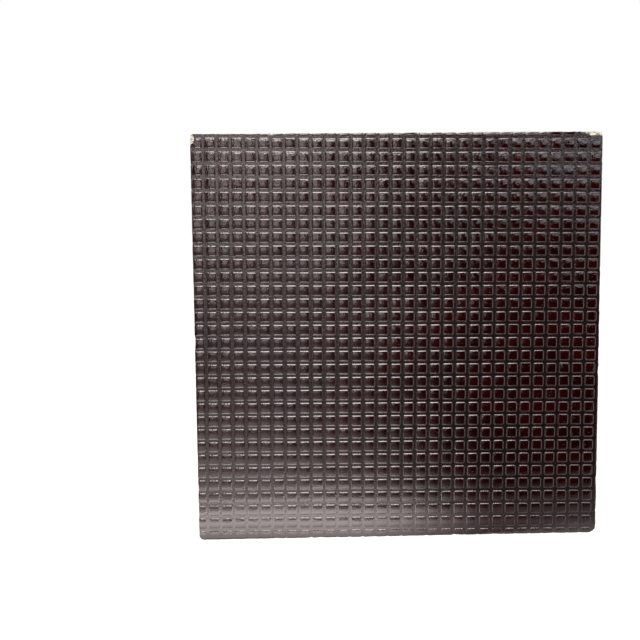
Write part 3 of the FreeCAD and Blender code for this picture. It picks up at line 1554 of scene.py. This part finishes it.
@dataclass
class Reflectors:
    """Shaded cards behind the camera, over it and on the floor, which only the film's gloss can see.

    Sides are the left and right ends of a card. The cards on the floor follow each other to the board.
    """

    wall_y: float = -1500.0 * MM
    wall_sides: Range = (-4000.0 * MM, 4000.0 * MM)
    wall_seam: float = 250.0 * MM
    wall_top: float = 800.0 * MM
    roof_sides: Range = (-120.0 * MM, 280.0 * MM)
    roof_low: Range = (-430.0 * MM, 268.0 * MM)
    roof_high: Range = (-170.0 * MM, 450.0 * MM)
    floor_level: float = 0.04 * MM
    far_y: float = -350.0 * MM
    far_sides: Range = (-1300.0 * MM, 1300.0 * MM)
    middle_sides: Range = (-250.0 * MM, 330.0 * MM)
    near_y: float = -46.0 * MM
    near_sides: Range = (-93.0 * MM, 75.0 * MM)
    base_y: float = -15.0 * MM
    base_right: float = 56.0 * MM
    base_bend: Range = (55.0 * MM, -12.0 * MM)
    base_tip: Range = (20.0 * MM, -6.1 * MM)
    upright_finish: CardFinish = CardFinish(
        4.3, 0.005, -150.0, 80.0, 365.0, Ramp(Axis.HEIGHT, (-80.0, 250.0), 0.12)
    )
    high_finish: CardFinish = CardFinish(
        3.4, 0.005, -150.0, 60.0, 330.0, Ramp(Axis.HEIGHT, (200.0, 700.0), 0.62)
    )
    roof_finish: CardFinish = CardFinish(15.0, 3.3, -30.0, 60.0, 215.0)
    far_finish: CardFinish = CardFinish(
        0.61, 0.005, -110.0, 30.0, 290.0, Ramp(Axis.DEPTH, (-1500.0, -400.0), 1.7)
    )
    middle_finish: CardFinish = CardFinish(
        1.85, 0.005, -58.0, 0.0, 98.0, Ramp(Axis.DEPTH, (-220.0, -55.0), 0.29)
    )
    near_finish: CardFinish = CardFinish(
        6.6, 0.5, -37.0, 21.0, 65.0, Ramp(Axis.DEPTH, (-44.0, -14.0), 0.28)
    )
    base_finish: CardFinish = CardFinish(
        3.3, 0.4, -37.0, 21.0, 65.0, Ramp(Axis.DEPTH, (-16.0, -8.0), 2.0)
    )

    def build(self) -> None:
        """Build every card."""
        self.build_wall()
        self.build_roof()
        self.build_floor()

    def build_wall(self) -> None:
        """Stand two cards on each other behind the camera."""
        foot, seam, top = ((self.wall_y, level) for level in (0.0, self.wall_seam, self.wall_top))
        sides = self.wall_sides
        self.add_card("upright_card", strip(sides, foot, sides, seam), self.upright_finish)
        self.add_card("high_card", strip(sides, seam, sides, top), self.high_finish)

    def build_roof(self) -> None:
        """Hang one sloping card above the camera."""
        corners = strip(self.roof_sides, self.roof_low, self.roof_sides, self.roof_high)
        self.add_card("top_card", corners, self.roof_finish)

    def build_floor(self) -> None:
        """Lay four cards on the floor, from the wall to the board."""
        depths = (self.wall_y, self.far_y, self.near_y, self.base_y)
        wall, far, near, base = ((depth, self.floor_level) for depth in depths)
        left, right = self.near_sides
        middle_end = (self.middle_sides[0], right)
        base_sides = (left, self.base_right)
        self.add_card("far_card", strip(self.wall_sides, wall, self.far_sides, far), self.far_finish)
        self.add_card("middle_card", strip(self.middle_sides, far, middle_end, near), self.middle_finish)
        self.add_card("near_card", strip(self.near_sides, near, base_sides, base), self.near_finish)
        edge = [(x, self.base_y) for x in base_sides]
        rest = [self.base_bend, self.base_tip, (left, self.base_tip[1])]
        corners = [(x, y, self.floor_level) for x, y in edge + rest]
        self.add_card("base_card", corners, self.base_finish)

    def add_card(self, name: str, corners: Sequence[Point], finish: CardFinish) -> None:
        """Add one card, which the camera, diffuse light and shadows don't see.

        Args:
            name: Name of the card.
            corners: Its corners, in order.
            finish: Its finish.
        """
        card = add_sheet(name, corners, finish.material(name))
        card.visible_camera = False
        card.visible_diffuse = False
        card.visible_shadow = False


@dataclass
class Studio:
    """White surroundings, floor, reflectors, lamps and camera."""

    camera_place: Point = (-24.19 * MM, -201.47 * MM, 71.54 * MM)
    camera_pitch: float = math.radians(-4.87)
    camera_yaw: float = math.radians(1.45)
    camera_roll: float = math.radians(-0.61)
    camera_clip: float = 1.0 * MM
    focal_pixels: float = 800.0
    sensor: float = 36.0
    floor_side: float = 6.0
    floor_gap: float = 0.01 * MM
    white: float = 1.0
    ambient: float = 0.5
    lamps: tuple[SoftBox, ...] = (
        SoftBox("top_box", 0.0, 43.0, 0.47, 0.24, 0.3, 4.0),
        SoftBox("right_window", 33.7, 17.0, 0.48, 0.23, 0.07, 3.6, DAYLIGHT),
        SoftBox("left_box", -50.0, -6.0, 0.5, 0.4, 0.2, 0.6),
        SoftBox("right_box", 62.0, -6.0, 0.5, 0.4, 0.2, 0.7),
    )

    def build(self) -> None:
        """Build the whole studio."""
        self.build_world()
        self.build_floor()
        Reflectors().build()
        for lamp in self.lamps:
            lamp.build()
        self.build_camera()
        bpy.context.scene.view_settings.view_transform = "Standard"

    def build_world(self) -> None:
        """White surroundings to the eye and in gloss, with a dimmer even light on the object."""
        world = bpy.data.worlds.new("studio_world")
        bpy.context.scene.world = world
        world.use_nodes = True
        nodes, links = world.node_tree.nodes, world.node_tree.links
        nodes.clear()
        paths = nodes.new("ShaderNodeLightPath").outputs
        seen = paths["Is Camera Ray"]
        for name in ("Is Glossy Ray", "Is Transmission Ray"):
            either = nodes.new("ShaderNodeMath")
            either.operation = "MAXIMUM"
            links.new(seen, either.inputs[0])
            links.new(paths[name], either.inputs[1])
            seen = either.outputs["Value"]
        mixed = nodes.new("ShaderNodeMixShader")
        links.new(seen, mixed.inputs["Fac"])
        unseen_input, seen_input = mixed.inputs[1], mixed.inputs[2]
        for entry, strength in ((unseen_input, self.ambient), (seen_input, self.white)):
            background = nodes.new("ShaderNodeBackground")
            background.inputs["Color"].default_value = (*WHITE, 1.0)
            background.inputs["Strength"].default_value = strength
            links.new(background.outputs[0], entry)
        output = nodes.new("ShaderNodeOutputWorld")
        links.new(mixed.outputs[0], output.inputs["Surface"])

    def build_floor(self) -> None:
        """Lay the floor just under the board."""
        sides = (-self.floor_side / 2.0, self.floor_side / 2.0)
        level = CAD_BOX[0].z - self.floor_gap
        front, back = ((depth, level) for depth in sides)
        add_sheet("floor", strip(sides, front, sides, back), FloorFinish().material())

    def build_camera(self) -> None:
        """Set the camera at the photograph's viewing angle."""
        data = bpy.data.cameras.new("camera")
        data.sensor_width = self.sensor
        data.lens = self.focal_pixels / IMAGE_SIDE * self.sensor
        data.clip_start = self.camera_clip
        camera = bpy.data.objects.new("camera", data)
        camera.location = self.camera_place
        level = math.cos(self.camera_pitch)
        view = Vector(
            (
                math.sin(self.camera_yaw) * level,
                math.cos(self.camera_yaw) * level,
                math.sin(self.camera_pitch),
            )
        )
        camera.rotation_mode = "QUATERNION"
        upright = view.to_track_quat("-Z", "Y")
        camera.rotation_quaternion = upright @ Quaternion((0.0, 0.0, 1.0), self.camera_roll)
        bpy.context.scene.collection.objects.link(camera)
        bpy.context.scene.camera = camera


def report_piece(piece: bpy.types.Object) -> None:
    """Log a piece and its number of triangles."""
    piece.data.calc_loop_triangles()
    log.info("%s: %d triangles", piece.name, len(piece.data.loop_triangles))


def main() -> None:
    """Build the board from its front film to its back film, then the studio round it."""
    logging.basicConfig(level=logging.INFO, format="%(name)s: %(message)s")
    high = CAD_BOX[1]
    outline = BoardOutline(high.x, high.z)
    report_piece(MeshFilm(outline, MeshPattern(high.z / 2.0)).build())
    front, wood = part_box("front_film")
    report_piece(TornFibres(outline, front.y, wood.y).build())
    for veneer in VeneerStack(outline).build():
        report_piece(veneer)
    report_piece(BackFilm(outline).build())
    Studio().build()


if __name__ == "__main__":
    main()
